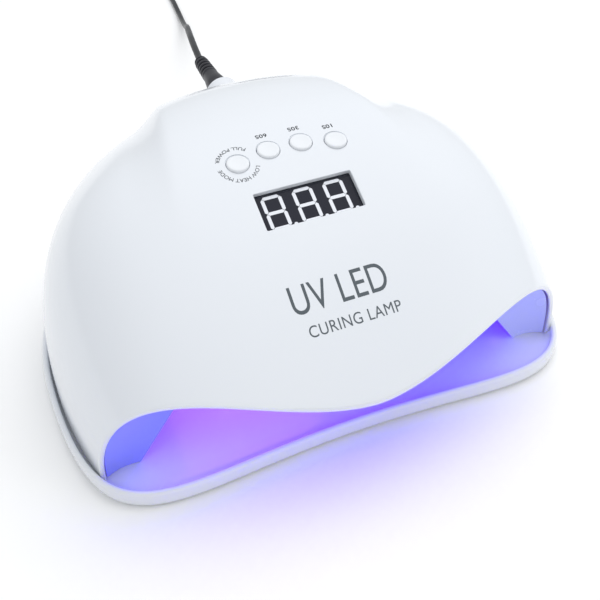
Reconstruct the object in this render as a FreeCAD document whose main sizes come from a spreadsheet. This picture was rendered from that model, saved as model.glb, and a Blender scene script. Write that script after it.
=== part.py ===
# UV curing lamp: a domed white housing that stands in a shallow tray, open at the front for a hand.
# Frame: front opening towards -Y, +X to the right, +Z up, origin under the middle of the lamp's outline.
import FreeCAD, Part
import math
import os
from FreeCAD import Placement, Rotation, Vector

doc = FreeCAD.newDocument("curing_lamp")
sheet = doc.addObject("Spreadsheet::Sheet", "sizes")

DRIVING = {
    # housing shell
    "half_width": 111.5, "crown_height": 101.0, "wall_centre_y": -12.0, "rear_y": 96.0,
    "lip_y": -99.5, "lip_corner_y": -66.0, "lip_height": 41.5, "crest_y": 20.0, "shell_bottom": 4.4,
    "shell_wall": 2.2, "front_taper": 0.23,
    "hump_half": 46.3, "hump_splay": 0.17, "shoulder": 17.5, "shoulder_splay": 0.05, "hump_drop": 8.0,
    "hump_start_y": -46.0, "hump_full_y": 52.0,
    # inner liner
    "cavity_half": 92.0, "cavity_roof": 68.0, "cavity_rear_y": 80.0, "cavity_bend_y": -35.0,
    "cavity_lip_z": 38.0, "cavity_front_y": -90.0, "cavity_side_y": -60.6, "liner_wall": 1.8,
    "flare_set": 1.5, "flare_gap": 0.4, "flare_edge": 0.6,
    "mouth_half": 87.0, "mouth_lean": 0.69, "mouth_knee_x": 56.0,
    "ring_front_y": -56.0, "ring_thick": 1.8, "screw_radius": 1.5, "screw_long": 7.0, "post_high": 8.0,
    "vent_wide": 2.4, "vent_high": 16.0, "vent_step": 8.0, "vent_low": 14.0,
    # base tray
    "tray_half": 115.0, "tray_front_y": -106.5, "tray_rear_y": 99.5,
    "tray_bump": 25.0, "tray_bump_width": 150.0,
    "tray_bottom": 1.0, "tray_floor": 4.0, "tray_rim": 9.5, "tray_wall": 2.6, "tray_taper": 0.15,
    "foot_radius": 6.0, "foot_high": 1.0, "magnet_radius": 4.0, "magnet_thick": 1.6,
    "magnet_x": 99.0, "magnet_front_y": -38.0, "magnet_rear_y": 22.0,
    # controls
    "button_radius": 4.6, "button_hole": 4.8, "button_flange": 5.8, "button_tilt": 9.0, "button_proud": 0.7,
    "button_stem": 1.6, "button_stem_long": 5.0, "button_flange_thick": 1.0,
    "button_span": 21.0, "button_arc_y": -10.0, "button_arc_rise": 3.5,
    "button_flange_down": 3.6, "switch_gap": 0.8, "switch_size": 6.0, "switch_high": 3.5,
    "display_y": -32.5, "window_long": 41.0, "window_wide": 16.6, "module_long": 46.0, "module_wide": 20.5,
    "module_high": 8.0, "module_set": 2.6, "digit_high": 14.2, "digit_wide": 8.0, "digit_pitch": 13.2,
    "segment": 1.5, "segment_thick": 0.15, "board_thick": 1.6,
    "control_long": 64.0, "control_wide": 36.0, "control_front": 8.0,
    # lighting
    "roof_board_long": 84.0, "roof_board_wide": 74.0, "roof_board_gap": 2.6, "led_radius": 2.6,
    "led_hole": 2.9, "wall_board_long": 40.0, "wall_board_high": 26.0, "wall_board_gap": 4.2,
    "led_mid_z": 25.0, "led_row": 12.0, "led_step": 24.0, "led_proud": 2.4, "led_wall_share": 0.985,
    "roof_board_y": 10.0,
    # power inlet, plug and cord
    "inlet_x": 2.5, "inlet_z": 74.0, "bezel_front_y": 85.0, "bezel_radius": 8.5, "bezel_long": 15.0,
    "bezel_hole": 8.7, "jack_radius": 5.5, "jack_bore": 2.8, "jack_long": 14.0, "jack_pin": 1.0,
    "plug_barrel": 2.75, "plug_barrel_long": 9.5, "plug_long": 35.0, "cord_radius": 1.75,
    "coil_x": 75.4, "coil_y": 458.0, "coil_radius": 20.0, "coil_half_wide": 7.2, "coil_high": 7.3,
    # mains adapter
    "adapter_x": 157.0, "adapter_y": 485.6, "adapter_long": 64.0, "adapter_wide": 42.0, "adapter_high": 27.0,
    "adapter_round": 4.0, "cap_thick": 3.0, "prong_long": 16.0, "prong_wide": 6.3, "prong_thick": 1.5,
    "relief_long": 12.0, "tie_wide": 8.0,
}
for row, (alias, value) in enumerate(DRIVING.items(), 1):
    sheet.set("A%d" % row, alias)
    sheet.set("B%d" % row, "%g" % value)
    sheet.setAlias("B%d" % row, alias)
doc.recompute()


def size(alias):
    return float(sheet.get(alias))


ROOF_POWER = 1.88        # how fast the crown line falls towards the lip
SIDE_POWER = 4.2         # boxiness of the housing's cross-section
DROP_POWER = 2.1         # how round the skins fall from roof to foot
PLAN_POWER = 2.2         # roundness of the rear outline
LIP_POWER = 1.75         # curve of the lip seen from above
CAVITY_POWER = 6.0       # boxiness of the hand cavity
CAVITY_SIDE_FROM = 0.62  # share of the cavity's half width where its front edge stops sweeping back
MOUTH_KNEE = 0.76        # share of the lip where the mouth's roof turns into its leaning side
MOUTH_ROUND = 6.0        # how softly it turns
CREASE_SOFT = 0.06       # softness of the crease above each shoulder
SHOULDER_POWER = 1.9
TRAY_CORNER_POWER = 5.6  # squareness of the tray's front corners
PARTS = []


# ---------------------------------------------------------------- helpers
def keep(obj, label):
    obj.Label = label
    PARTS.append(obj)
    return obj


def bind(obj, **links):
    for prop, expression in links.items():
        obj.setExpression(prop, expression)
    return obj


def box(name, long, wide, high):
    return bind(doc.addObject("Part::Box", name), Length=long, Width=wide, Height=high)


def cylinder(name, radius, high):
    return bind(doc.addObject("Part::Cylinder", name), Radius=radius, Height=high)


def group(label, members):
    compound = doc.addObject("Part::Compound", label)
    compound.Links = members
    return keep(compound, label)


def cut(name, base, tool):
    result = doc.addObject("Part::Cut", name)
    result.Base = base
    result.Tool = tool
    return result


def feature(name, shape):
    obj = doc.addObject("Part::Feature", name)
    obj.Shape = shape
    return obj


def body_plane(body, role):
    return [item for item in body.Origin.OriginFeatures if item.Role == role][0]


def sketch(body, role, points):
    """A closed outline of straight lines in one of the body's own origin planes."""
    outline = body.newObject("Sketcher::SketchObject", body.Name + "_outline")
    outline.AttachmentSupport = [(body_plane(body, role), "")]
    outline.MapMode = "FlatFace"
    for here, there in zip(points, points[1:] + points[:1]):
        outline.addGeometry(Part.LineSegment(Vector(here[0], here[1], 0), Vector(there[0], there[1], 0)))
    return outline


def turned(label, points):
    """A PartDesign body of revolution about its own Z axis: points are (radius, height) pairs."""
    body = doc.addObject("PartDesign::Body", label)
    outline = sketch(body, "XZ_Plane", points)
    spin = body.newObject("PartDesign::Revolution", label + "_turn")
    spin.Profile = outline
    spin.ReferenceAxis = (outline, ["V_Axis"])
    spin.Angle = 360.0
    body.Tip = spin
    return body


def rounded_block(label, long, wide, high, radius):
    """A PartDesign pad of a centred rectangle with rounded edges."""
    body = doc.addObject("PartDesign::Body", label)
    half_x, half_y = size(long) / 2, size(wide) / 2
    corners = [(-half_x, -half_y), (half_x, -half_y), (half_x, half_y), (-half_x, half_y)]
    outline = sketch(body, "XY_Plane", corners)
    pad = body.newObject("PartDesign::Pad", label + "_pad")
    pad.Profile = outline
    pad.setExpression("Length", "sizes." + high)
    doc.recompute()
    fillet = body.newObject("PartDesign::Fillet", label + "_round")
    fillet.Base = (pad, ["Edge%d" % (i + 1) for i in range(len(pad.Shape.Edges))])
    fillet.setExpression("Radius", "sizes." + radius)
    body.Tip = fillet
    return body


def smooth(step):
    step = min(max(step, 0.0), 1.0)
    return step * step * (3 - 2 * step)


# ---------------------------------------------------------------- freeform skins
def crown(y):
    """Height of the housing's centre line."""
    if y >= size("crest_y"):
        return size("crown_height")
    part = (size("crest_y") - y) / (size("crest_y") - size("lip_y"))
    return size("crown_height") - (size("crown_height") - size("lip_height")) * part ** ROOF_POWER


def crown_slope(y):
    return (crown(y + 0.5) - crown(y - 0.5)) / 1.0


def hump_drop(x, y):
    """How far the shoulders lie below the raised middle: a crease above and a soft valley below."""
    along = smooth((y - size("hump_start_y")) / (size("hump_full_y") - size("hump_start_y")))
    start = size("hump_half") - size("hump_splay") * y
    across = (abs(x) - start) / (size("shoulder") - size("shoulder_splay") * y)
    creased = min((math.hypot(across, CREASE_SOFT) + across) / 2, 1.0)
    return size("hump_drop") * along * (1 - (1 - creased) ** SHOULDER_POWER)


def shell_skin(inset):
    """Outer skin of the housing moved in by inset."""
    return {
        "half": size("half_width") - inset, "rear": size("rear_y") - inset, "bottom": size("shell_bottom"),
        "power": SIDE_POWER,
        "roof": lambda x, y: crown(y) - inset * math.hypot(1, crown_slope(y)) - hump_drop(x, y),
        "front": lambda f: size("lip_y") + (size("lip_corner_y") - size("lip_y")) * f ** LIP_POWER,
    }


def cavity_roof(y):
    if y >= size("cavity_bend_y"):
        return size("cavity_roof")
    part = (size("cavity_bend_y") - y) / (size("cavity_bend_y") - size("lip_y"))
    return size("cavity_roof") - (size("cavity_roof") - size("cavity_lip_z")) * part ** 1.6


def cavity_front(share):
    """Front edge of the liner: far forward in the middle, behind the cheeks of the mouth at the sides."""
    sweep = size("cavity_side_y") - size("cavity_front_y")
    return size("cavity_front_y") + sweep * smooth(share / CAVITY_SIDE_FROM)


def cavity_skin(outset):
    """Inner face of the liner moved out by outset."""
    return {
        "half": size("cavity_half") + outset, "rear": size("cavity_rear_y") + outset,
        "bottom": size("shell_bottom"), "power": CAVITY_POWER,
        "roof": lambda x, y: cavity_roof(y) + outset, "front": cavity_front,
    }


def width_at(skin, y):
    forward = max(size("wall_centre_y") - y, 0.0) / 100.0
    return skin["half"] * (1 - size("front_taper") * forward ** 2)


def skin_point(skin, u, v):
    """A point of a skin: u runs across from -1 to 1, v from -1 at the front edge to 1 at the rear edge."""
    centre = size("wall_centre_y")
    if v < 0:
        ring = abs(u) * (2 - abs(u))
        y = centre + v * (centre - skin["front"](ring))
        x = math.copysign(width_at(skin, y) * ring, u)
    else:
        across = u * math.sqrt(1 - v * v / 2)
        along = v * math.sqrt(1 - u * u / 2)
        reach = min(math.hypot(across, along), 1.0)
        ring = reach * (2 - reach)
        norm = (abs(across) ** PLAN_POWER + along ** PLAN_POWER) ** (1 / PLAN_POWER) or 1.0
        x = skin["half"] * ring * across / norm
        y = centre + (skin["rear"] - centre) * ring * along / norm
    fall = max(1 - ring ** skin["power"], 0.0) ** (1 / DROP_POWER)
    return Vector(x, y, skin["bottom"] + (skin["roof"](x, y) - skin["bottom"]) * fall)


def skin_surface(skin, front_steps=12, rear_steps=14, half_across=16):
    rows = [-1 + i / front_steps for i in range(front_steps)]
    rows += [i / rear_steps for i in range(rear_steps + 1)]
    columns = [i / half_across for i in range(-half_across, half_across + 1)]
    surface = Part.BSplineSurface()
    surface.interpolate([[skin_point(skin, u, v) for u in columns] for v in rows])
    return surface


def edges_of(face):
    """The four boundary edges of a grid face: front, right, rear and left."""
    surface = face.Surface
    low_u, high_u, low_v, high_v = surface.bounds()
    return [surface.uIso(low_u).toShape(), surface.vIso(high_v).toShape(),
            surface.uIso(high_u).toShape(), surface.vIso(low_v).toShape()]


def sewn_solid(faces):
    """One closed solid from faces that meet edge to edge."""
    loose = Part.makeCompound(faces)
    loose.sewShape(0.05)
    return Part.Solid(loose.Shells[0])


def walled(outer, inner):
    """A closed solid between two skins that are laid out alike."""
    outer_face = skin_surface(outer).toShape()
    inner_face = skin_surface(inner).toShape()
    rims = [Part.makeRuledSurface(a, b) for a, b in zip(edges_of(outer_face), edges_of(inner_face))]
    return sewn_solid([outer_face, inner_face] + rims)


def lip_row(forward, count=41):
    """The front edge just inside the housing's wall, moved towards -Y by forward."""
    skin = shell_skin(size("shell_wall") + size("flare_gap"))
    across = [-1 + 2 * i / (count - 1) for i in range(count)]
    return [skin_point(skin, u, -1) - Vector(0, forward, 0) for u in across]


def mouth_point(u, lip_point):
    """Edge of the mouth that belongs to one point of the lip: a roof in the middle, leaning sides."""
    share = abs(u) * (2 - abs(u))
    if share < MOUTH_KNEE:
        x = size("mouth_knee_x") * share / MOUTH_KNEE
    else:
        skin = shell_skin(size("shell_wall") + size("flare_gap"))
        knee = skin_point(skin, 1 - math.sqrt(1 - MOUTH_KNEE), -1).z
        drop = (lip_point.z - size("shell_bottom")) / (knee - size("shell_bottom"))
        x = size("mouth_half") - (size("mouth_half") - size("mouth_knee_x")) * drop
    sweep = smooth(x / size("mouth_half") / CAVITY_SIDE_FROM)
    y = cavity_front(x / size("mouth_half")) - 0.1 - size("liner_wall") * sweep
    side = size("shell_bottom") + (size("mouth_half") - x) / size("mouth_lean")
    roof = cavity_roof(y)
    apart = side - roof
    z = (side + roof - math.sqrt(apart ** 2 + MOUTH_ROUND ** 2)) / 2
    z = max(z, size("shell_bottom")) if x < size("mouth_half") else lip_point.z
    return Vector(math.copysign(x, u), y, z)


def curve_through(points):
    curve = Part.BSplineCurve()
    curve.interpolate(points)
    return curve.toShape()


def flare_solid():
    """The liner's front frame, from just inside the lip to the edge of the mouth."""
    lip = lip_row(-size("flare_set"))
    count = len(lip)
    mouth = [mouth_point(-1 + 2 * i / (count - 1), point) for i, point in enumerate(lip)]
    lip_back, mouth_back = [], []
    for i in range(count):
        low, high = max(i - 1, 0), min(i + 1, count - 1)
        along = lip[high] + mouth[high] - lip[low] - mouth[low]
        normal = along.cross(mouth[i] - lip[i]).normalize()
        lip_back.append(lip[i] + normal * size("flare_edge"))
        mouth_back.append(mouth[i] + normal * size("liner_wall"))
    rows = [curve_through(points) for points in (mouth, mouth_back, lip_back, lip)]
    faces = [Part.makeRuledSurface(a, b) for a, b in zip(rows, rows[1:] + rows[:1])]
    for end in (0, -1):
        corners = [row.Vertexes[end].Point for row in rows]
        faces.append(Part.Face(Part.makePolygon(corners + corners[:1])))
    return sewn_solid(faces)


def plan_side(skin, front_y, count=41):
    """Open outline of a skin's foot, from the front left round the rear to the front right."""
    centre = size("wall_centre_y")
    ahead = [front_y + (centre - front_y) * i / 6 for i in range(6)]
    points = [Vector(-width_at(skin, y), y, 0) for y in ahead]
    for i in range(count):
        angle = math.pi * (1 - i / (count - 1))
        across, along = math.cos(angle), math.sin(angle)
        norm = (abs(across) ** PLAN_POWER + along ** PLAN_POWER) ** (1 / PLAN_POWER)
        y = centre + (skin["rear"] - centre) * along / norm
        points.append(Vector(skin["half"] * across / norm, y, 0))
    points += [Vector(width_at(skin, y), y, 0) for y in reversed(ahead)]
    curve = Part.BSplineCurve()
    curve.interpolate(points)
    return curve.toShape()


def ring_solid(outer, inner, front_y, low, high):
    """A flat U-shaped plate between the feet of two skins."""
    big, small = plan_side(outer, front_y), plan_side(inner, front_y)
    ends = [Part.makeLine(big.Vertexes[k].Point, small.Vertexes[k].Point) for k in (0, -1)]
    face = Part.Face(Part.Wire(Part.__sortEdges__([big, ends[1], small, ends[0]])))
    face.translate(Vector(0, 0, low))
    return face.extrude(Vector(0, 0, high - low))


def tray_outline(inset, count=180):
    """Closed outline of the tray: a round rear, squarer front corners and a shallow front bay."""
    centre = size("wall_centre_y")
    points = []
    for i in range(count):
        turn = 2 * math.pi * i / count
        across, along = math.cos(turn), math.sin(turn)
        power = PLAN_POWER if along > 0 else TRAY_CORNER_POWER
        norm = (abs(across) ** power + abs(along) ** power) ** (1 / power)
        end = size("tray_rear_y") if along > 0 else -size("tray_front_y") + 2 * centre
        y = centre + (end - inset - centre) * along / norm
        forward = max(centre - y, 0.0) / 100.0
        x = (size("tray_half") - inset) * across / norm * (1 - size("tray_taper") * forward ** 2)
        if along < 0:
            bay = size("tray_bump") * math.exp(-(x / size("tray_bump_width")) ** 2)
            y += bay * min(-along / norm, 1) ** 2
        points.append(Vector(x, y, 0))
    curve = Part.BSplineCurve()
    curve.interpolate(Points=points, PeriodicFlag=True)
    return Part.Face(Part.Wire([curve.toShape()]))


def slab(face, low, high):
    moved = face.copy()
    moved.translate(Vector(0, 0, low))
    return moved.extrude(Vector(0, 0, high - low))


# ---------------------------------------------------------------- places
def outward(tilt):
    """Unit vector that leans from +Z towards -Y by tilt degrees."""
    angle = math.radians(tilt)
    return Vector(0, -math.sin(angle), math.cos(angle))


def on_crown(x, y, tilt, depth=0.0):
    """Placement on the housing's outer skin at x, y: local Z leans towards the front by tilt degrees."""
    skin = shell_skin(0)
    ring = abs(x) / skin["half"]
    fall = (1 - ring ** SIDE_POWER) ** (1 / DROP_POWER)
    height = skin["bottom"] + (skin["roof"](x, y) - skin["bottom"]) * fall
    return Placement(Vector(x, y, height) - outward(tilt) * depth, Rotation(Vector(1, 0, 0), tilt))


def display_place(depth):
    tilt = math.degrees(math.atan(crown_slope(size("display_y"))))
    return on_crown(0.0, size("display_y"), tilt, depth)


def button_spot(x):
    """Button centres lie on a shallow arc."""
    rise = size("button_arc_rise") * (1 - (x / size("button_span")) ** 2)
    return on_crown(x, size("button_arc_y") + rise, size("button_tilt"))


def wall_spot(turn):
    """Point of the cavity's wall at mid height and the wall's outward direction, at a plan angle."""
    skin = cavity_skin(0)
    centre = size("wall_centre_y")
    across, along = math.cos(math.radians(turn)), math.sin(math.radians(turn))
    if along < 0:
        y = centre + (skin["rear"] - centre) * along
        side = math.copysign(width_at(skin, y) * size("led_wall_share"), across)
        return Vector(side, y, size("led_mid_z")), Vector(math.copysign(1, across), 0, 0)
    norm = (abs(across) ** PLAN_POWER + along ** PLAN_POWER) ** (1 / PLAN_POWER)
    deep = skin["rear"] - centre
    share = size("led_wall_share") / norm
    point = Vector(skin["half"] * share * across, centre + deep * share * along, size("led_mid_z"))
    lean = PLAN_POWER - 1
    normal = Vector(math.copysign(abs(across) ** lean, across) / skin["half"], along ** lean / deep, 0)
    return point, normal.normalize()


# ---------------------------------------------------------------- housing
BUTTONS = {"button_mode": -21.0, "button_60s": -7.0, "button_30s": 7.0, "button_10s": 21.0}
WALLS = {"left": 196.0, "rear_left": 133.0, "rear": 90.0, "rear_right": 47.0, "right": -16.0}
ROOF_SPOTS = [(x, y) for x in (-36, -12, 12, 36) for y in (-20, 0, 20, 40)]


def lens_placements(wall):
    """Four lens places on one wall board: local Z points into the cavity."""
    point, normal = wall_spot(WALLS[wall])
    side = Vector(-normal.y, normal.x, 0)
    places = []
    for across in (-0.5, 0.5):
        for up in (-0.5, 0.5):
            base = point + normal * size("wall_board_gap") + side * (across * size("led_step"))
            base += Vector(0, 0, up * size("led_row"))
            places.append(Placement(base, Rotation(Vector(0, 0, 1), normal * -1)))
    return places


def roof_placements():
    top = size("cavity_roof") + size("liner_wall") + size("roof_board_gap") - 1.0
    return [Placement(Vector(x, y, top), Rotation(Vector(1, 0, 0), 180)) for x, y in ROOF_SPOTS]


def make_shell():
    solid = walled(shell_skin(0), shell_skin(size("shell_wall")))
    window = Part.makeBox(size("window_long"), size("window_wide"), 20,
                          Vector(-size("window_long") / 2, -size("window_wide") / 2, -10))
    window.Placement = display_place(0)
    tools = [window]
    for x in BUTTONS.values():
        hole = Part.makeCylinder(size("button_hole"), 16, Vector(0, 0, -8))
        hole.Placement = button_spot(x)
        tools.append(hole)
    tools.append(Part.makeCylinder(size("bezel_hole"), 40, Vector(size("inlet_x"), 62, size("inlet_z")),
                                   Vector(0, 1, 0)))
    for step in range(-3, 4):
        tools.append(Part.makeBox(size("vent_wide"), 30, size("vent_high"),
                                  Vector(step * size("vent_step") - size("vent_wide") / 2, 80, size("vent_low"))))
    return solid.cut(tools)


def make_liner():
    solid = walled(cavity_skin(size("liner_wall")), cavity_skin(0))
    tools = []
    for place in roof_placements() + [p for wall in WALLS for p in lens_placements(wall)]:
        hole = Part.makeCylinder(size("led_hole"), 12)
        hole.Placement = place
        tools.append(hole)
    return solid.cut(tools)


keep(feature("top_shell", make_shell()), "top_shell")
keep(feature("inner_liner", make_liner()), "inner_liner")
keep(feature("liner_flare", flare_solid()), "liner_flare")


# the plate that closes the gap between liner and shell, with its screws and magnets
MAGNETS = [(side * size("magnet_x"), y)
           for side in (-1, 1) for y in (size("magnet_front_y"), size("magnet_rear_y"))]
SCREWS = [(-97.0, -8.0), (97.0, -8.0), (-70.0, 68.0), (70.0, 68.0), (-20.0, 89.0), (20.0, 89.0)]


def make_ring():
    low = size("shell_bottom")
    plate = ring_solid(shell_skin(size("shell_wall") + 0.1), cavity_skin(size("liner_wall") + 0.1),
                       size("ring_front_y"), low, low + size("ring_thick"))
    tools = [Part.makeCylinder(size("magnet_radius") + 0.05, 9, Vector(x, y, 0)) for x, y in MAGNETS]
    tools += [Part.makeCylinder(size("screw_radius") + 0.05, 9, Vector(x, y, 0)) for x, y in SCREWS]
    return plate.cut(tools)


keep(feature("bottom_ring", make_ring()), "bottom_ring")


def discs(label, spots, radius, high, low):
    members = []
    for index, (x, y) in enumerate(spots):
        disc = cylinder("%s_%d" % (label, index), radius, high)
        disc.Placement.Base = Vector(x, y, low)
        members.append(disc)
    return group(label, members)


def posts(label, spots, outer, bore, low):
    members = []
    for index, (x, y) in enumerate(spots):
        tube = cut("%s_%d" % (label, index), cylinder(label + "_out", outer, "sizes.post_high"),
                   cylinder(label + "_in", bore, "sizes.post_high"))
        tube.Placement.Base = Vector(x, y, low)
        members.append(tube)
    return group(label, members)


RING_TOP = size("shell_bottom") + size("ring_thick")
discs("housing_magnets", MAGNETS, "sizes.magnet_radius", "sizes.magnet_thick", size("shell_bottom") + 0.1)
discs("ring_screws", SCREWS, "sizes.screw_radius", "sizes.screw_long", size("shell_bottom") + 0.1)
posts("screw_posts", SCREWS, "sizes.screw_radius + 1.2", "sizes.screw_radius + 0.05", RING_TOP)


# ---------------------------------------------------------------- lighting
def wall_board(wall):
    point, normal = wall_spot(WALLS[wall])
    board = box("board_" + wall, "sizes.wall_board_long", "sizes.board_thick", "sizes.wall_board_high")
    turn = Rotation(Vector(0, 1, 0), normal)
    corner = turn.multVec(Vector(-size("wall_board_long") / 2, 0, -size("wall_board_high") / 2))
    board.Placement = Placement(point + normal * (size("wall_board_gap") + 0.15) + corner, turn)
    return keep(board, "led_board_" + wall)


def lenses(label, places, high):
    members = []
    for index, place in enumerate(places):
        lens = cylinder("%s_%d" % (label, index), "sizes.led_radius", high)
        lens.Placement = place
        members.append(lens)
    return group(label, members)


for wall_name in WALLS:
    wall_board(wall_name)
    lenses("led_lenses_" + wall_name, lens_placements(wall_name), "sizes.wall_board_gap + sizes.led_proud")

roof_board = box("roof_board", "sizes.roof_board_long", "sizes.roof_board_wide", "sizes.board_thick")
roof_board.Placement.Base = Vector(-size("roof_board_long") / 2,
                                   size("roof_board_y") - size("roof_board_wide") / 2,
                                   roof_placements()[0].Base.z)
keep(roof_board, "led_board_roof")
lenses("led_lenses_roof", roof_placements(), "sizes.liner_wall + sizes.roof_board_gap + 0.4")


# ---------------------------------------------------------------- display
doc.recompute()


def display_box(name, long, wide, high, x, y, depth):
    block = box(name, long, wide, high)
    doc.recompute()
    corner = Vector(x - block.Length.Value / 2, y - block.Width.Value / 2, -depth - block.Height.Value)
    block.Placement = display_place(0).multiply(Placement(corner, Rotation()))
    return block


MODULE_FACE = size("module_set")
keep(display_box("module", "sizes.module_long", "sizes.module_wide", "sizes.module_high", 0, 0, MODULE_FACE),
     "display_module")
keep(display_box("board_display", "sizes.module_long + 6", "sizes.module_wide + 5", "sizes.board_thick", 0, 0,
                 MODULE_FACE + size("module_high")), "display_board")


def digit_segments():
    """Three seven-segment digits, each with its point."""
    thin = size("segment")
    high, wide = size("digit_high"), size("digit_wide")
    bars = []
    for digit in (-1, 0, 1):
        middle = digit * size("digit_pitch") - 0.8
        for level in (-1, 0, 1):
            bars.append((middle, level * (high - thin) / 2, wide - 2 * thin, thin))
        for across in (-1, 1):
            for level in (-1, 1):
                bars.append((middle + across * (wide - thin) / 2, level * (high / 4),
                             thin, high / 2 - 0.9 * thin))
        bars.append((middle + wide / 2 + 1.4, -(high - thin) / 2, thin, thin))
    return bars


members = []
for index, (x, y, long, wide) in enumerate(digit_segments()):
    members.append(display_box("segment_%d" % index, "%g" % long, "%g" % wide, "sizes.segment_thick", x, y,
                               MODULE_FACE - size("segment_thick")))
group("display_segments", members)


# ---------------------------------------------------------------- buttons
BOARD_PLACE = button_spot(0.0)
STEM_END = size("button_flange_down") + size("button_flange_thick") + size("button_stem_long")


def stem_end(place):
    """Local height of a stem's end, so that all four end in one plane."""
    rise = (place.Base - BOARD_PLACE.Base).dot(outward(size("button_tilt")))
    return -STEM_END - rise


switch_members = []
for label, x in BUTTONS.items():
    place = button_spot(x)
    end = stem_end(place)
    radius, flange = size("button_radius"), size("button_flange")
    top, under = size("button_proud"), -size("button_flange_down")
    low = under - size("button_flange_thick")
    stem = size("button_stem")
    profile = [(0, end), (stem, end), (stem, low), (flange, low), (flange, under), (radius, under),
               (radius, top - 0.5), (radius - 0.5, top), (0, top)]
    button = turned(label, profile)
    button.Placement = place
    keep(button, label)
    switch = box("switch_" + label, "sizes.switch_size", "sizes.switch_size", "sizes.switch_high")
    half = size("switch_size") / 2
    corner = Vector(-half, -half, end - size("switch_gap") - size("switch_high"))
    switch.Placement = place.multiply(Placement(corner, Rotation()))
    switch_members.append(switch)
group("tact_switches", switch_members)

control = box("control", "sizes.control_long", "sizes.control_wide", "sizes.board_thick")
control_drop = -STEM_END - size("switch_gap") - size("switch_high") - size("board_thick")
control.Placement = BOARD_PLACE.multiply(Placement(
    Vector(-size("control_long") / 2, -size("control_front"), control_drop), Rotation()))
keep(control, "control_board")


def chip(name, long, wide, high, x, y):
    block = box(name, long, wide, high)
    block.Placement = BOARD_PLACE.multiply(Placement(Vector(x, y, control_drop + size("board_thick")), Rotation()))
    return block


group("board_components", [
    chip("controller_chip", "9.9", "6", "1.75", -8, 14), chip("supply_coil", "8", "8", "4.5", 12, 14),
    chip("power_capacitor_a", "5", "5", "5", -24, 14), chip("power_capacitor_b", "5", "5", "5", 24, 14)])


# ---------------------------------------------------------------- power inlet and plug
def along_y(obj, y, spin=-90):
    """Turns an object whose axis is local Z so that the axis runs along +Y, with its foot at y."""
    obj.Placement = Placement(Vector(size("inlet_x"), y, size("inlet_z")), Rotation(Vector(1, 0, 0), spin))
    return obj


front = size("bezel_front_y")
bore, long = size("jack_radius") + 0.05, size("bezel_long")
bezel = turned("inlet_bezel", [(bore, 0), (size("bezel_radius"), 0), (size("bezel_radius"), long - 1),
                               (size("bezel_radius") - 1, long), (bore, long)])
keep(along_y(bezel, front - size("bezel_long")), "inlet_bezel")
socket = turned("dc_jack", [(0, 0), (size("jack_radius"), 0), (size("jack_radius"), size("jack_long")),
                            (size("jack_bore"), size("jack_long")), (size("jack_bore"), 3), (size("jack_pin"), 3),
                            (size("jack_pin"), size("jack_long") - 2), (0, size("jack_long") - 2)])
keep(along_y(socket, front - size("jack_long")), "dc_jack")
barrel = turned("dc_plug_barrel", [(size("jack_pin") + 0.15, 0), (size("plug_barrel"), 0),
                                   (size("plug_barrel"), size("plug_barrel_long")),
                                   (size("jack_pin") + 0.15, size("plug_barrel_long"))])
keep(along_y(barrel, front - size("plug_barrel_long")), "dc_plug_barrel")
long = size("plug_long")
moulding = turned("dc_plug_body", [(0, 0.1), (5.2, 0.1), (5.2, 13), (4.6, 19), (4.0, 20), (4.0, long - 1),
                                   (3.2, long), (0, long)])
keep(along_y(moulding, front), "dc_plug_body")

# the lead: out of the plug, down to the table and away behind the lamp, then a tied coil and the adapter
LEAD_ROUTE = [(2.5, 120, 74), (4.6, 138, 73.4), (9.5, 165, 68.5), (15.5, 192, 59), (22.5, 221, 46), (30, 252, 31),
              (37, 282, 17), (42.5, 310, 6.4), (46.5, 336, 2.0), (49, 362, 1.8), (50.6, 388, 1.8),
              (49.4, 416, 1.8), (50.1, 444.2, 1.8)]
TAIL_ROUTE = [(87.8, 483.4, 5.3), (97, 483.8, 6.6), (105, 485.2, 11.2), (113, 485.6, 13.4)]


def cord_tube(label, route):
    """Straight runs joined by tangent arcs, each as large as its two runs allow."""
    points = [Vector(*p) for p in route]
    edges, here, length, radii = [], points[0], 0.0, []
    for before, corner, after in zip(points, points[1:], points[2:]):
        back, ahead = (before - corner), (after - corner)
        reach = 0.45 * min(back.Length, ahead.Length)
        back.normalize()
        ahead.normalize()
        half_turn = (math.pi - back.getAngle(ahead)) / 2
        radius = reach / math.tan(half_turn)
        start, end = corner + back * reach, corner + ahead * reach
        inward = (back + ahead).normalize()
        middle = corner + inward * (radius / math.cos(half_turn) - radius)
        edges += [Part.LineSegment(here, start).toShape(), Part.Arc(start, middle, end).toShape()]
        here = end
        radii.append(radius)
    edges.append(Part.LineSegment(here, points[-1]).toShape())
    path = Part.Wire(edges)
    section = Part.Wire([Part.makeCircle(size("cord_radius"), points[0], points[1] - points[0])])
    tube = path.makePipeShell([section], True, False)
    ideal = path.Length * math.pi * size("cord_radius") ** 2
    print(label, "length %.1f volume %.3f of ideal" % (path.Length, tube.Volume / ideal))
    print("  radii", [round(r) for r in radii])
    return keep(feature(label, tube), label)


cord_tube("cord_lead", LEAD_ROUTE)
cord_tube("cord_tail", TAIL_ROUTE)

coil = cut("coil", cylinder("coil_outside", "sizes.coil_radius + sizes.coil_half_wide", "sizes.coil_high"),
           cylinder("coil_inside", "sizes.coil_radius - sizes.coil_half_wide", "sizes.coil_high"))
coil.Placement.Base = Vector(size("coil_x"), size("coil_y"), 0)
keep(coil, "cord_coil")

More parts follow.
